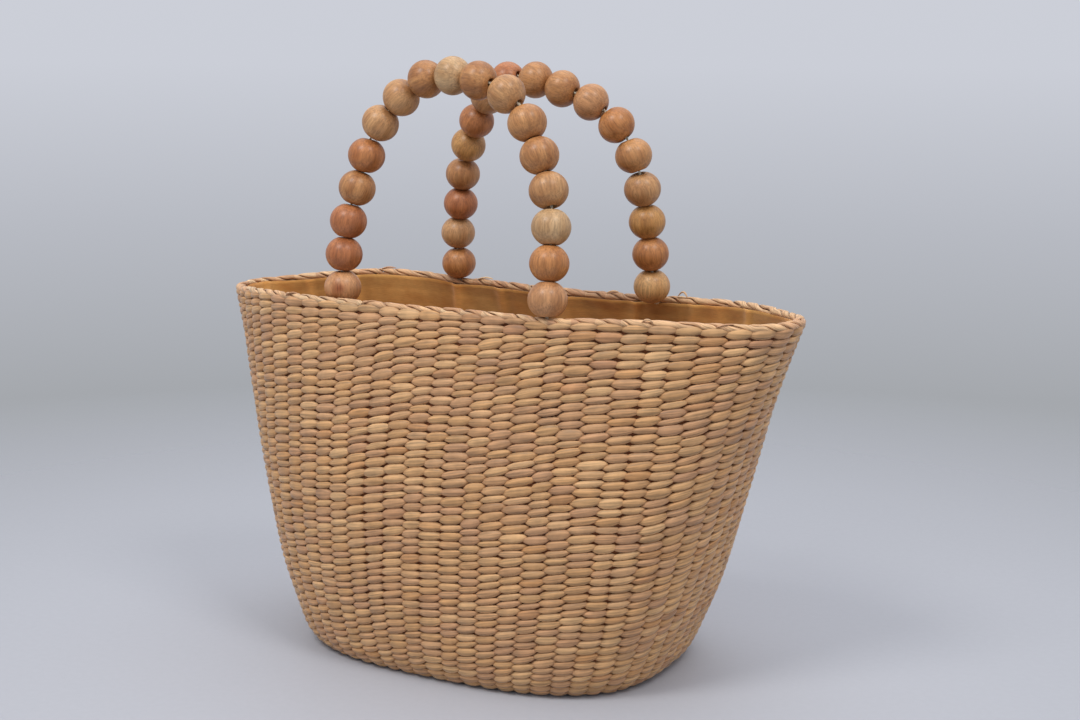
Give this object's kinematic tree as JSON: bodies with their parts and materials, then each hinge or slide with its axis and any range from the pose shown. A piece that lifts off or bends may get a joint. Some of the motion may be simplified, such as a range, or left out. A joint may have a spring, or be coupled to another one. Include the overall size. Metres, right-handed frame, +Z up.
{
  "type": "straw basket bag",
  "caption": "Small soft straw basket bag that flares to a long oval mouth, with a braided edge, a cotton lining and two carrying handles of wooden beads.",
  "frame": {"origin": "middle of the flat underside, where the bag stands", "axes": "+X along the bag's long side to the right seen from the front, +Y from the front to the back, +Z up"},
  "size_m": [0.3472, 0.1636, 0.322],
  "materials": {
    "straw": "woven natural straw, dull with a slight sheen on each strand",
    "edge_straw": "twisted natural straw, paler than the weave",
    "cotton": "golden tan cotton",
    "bead_wood": "turned wood in mixed tones under satin lacquer",
    "nylon": "pale twisted nylon"
  },
  "bodies": {
    "root": {"basket_body": "straw", "rim_edge": "edge_straw", "lining": "cotton", "front_bead_01": "bead_wood", "front_bead_02": "bead_wood", "front_bead_03": "bead_wood", "front_bead_04": "bead_wood", "front_bead_05": "bead_wood", "front_bead_06": "bead_wood", "front_bead_07": "bead_wood", "front_bead_08": "bead_wood", "front_bead_09": "bead_wood", "front_bead_10": "bead_wood", "front_bead_11": "bead_wood", "front_bead_12": "bead_wood", "front_bead_13": "bead_wood", "front_bead_14": "bead_wood", "front_bead_15": "bead_wood", "front_bead_16": "bead_wood", "front_bead_17": "bead_wood", "back_bead_01": "bead_wood", "back_bead_02": "bead_wood", "back_bead_03": "bead_wood", "back_bead_04": "bead_wood", "back_bead_05": "bead_wood", "back_bead_06": "bead_wood", "back_bead_07": "bead_wood", "back_bead_08": "bead_wood", "back_bead_09": "bead_wood", "back_bead_10": "bead_wood", "back_bead_11": "bead_wood", "back_bead_12": "bead_wood", "back_bead_13": "bead_wood", "back_bead_14": "bead_wood", "back_bead_15": "bead_wood", "back_bead_16": "bead_wood", "back_bead_17": "bead_wood", "front_thread": "nylon", "back_thread": "nylon"}
  },
  "joints": []
}
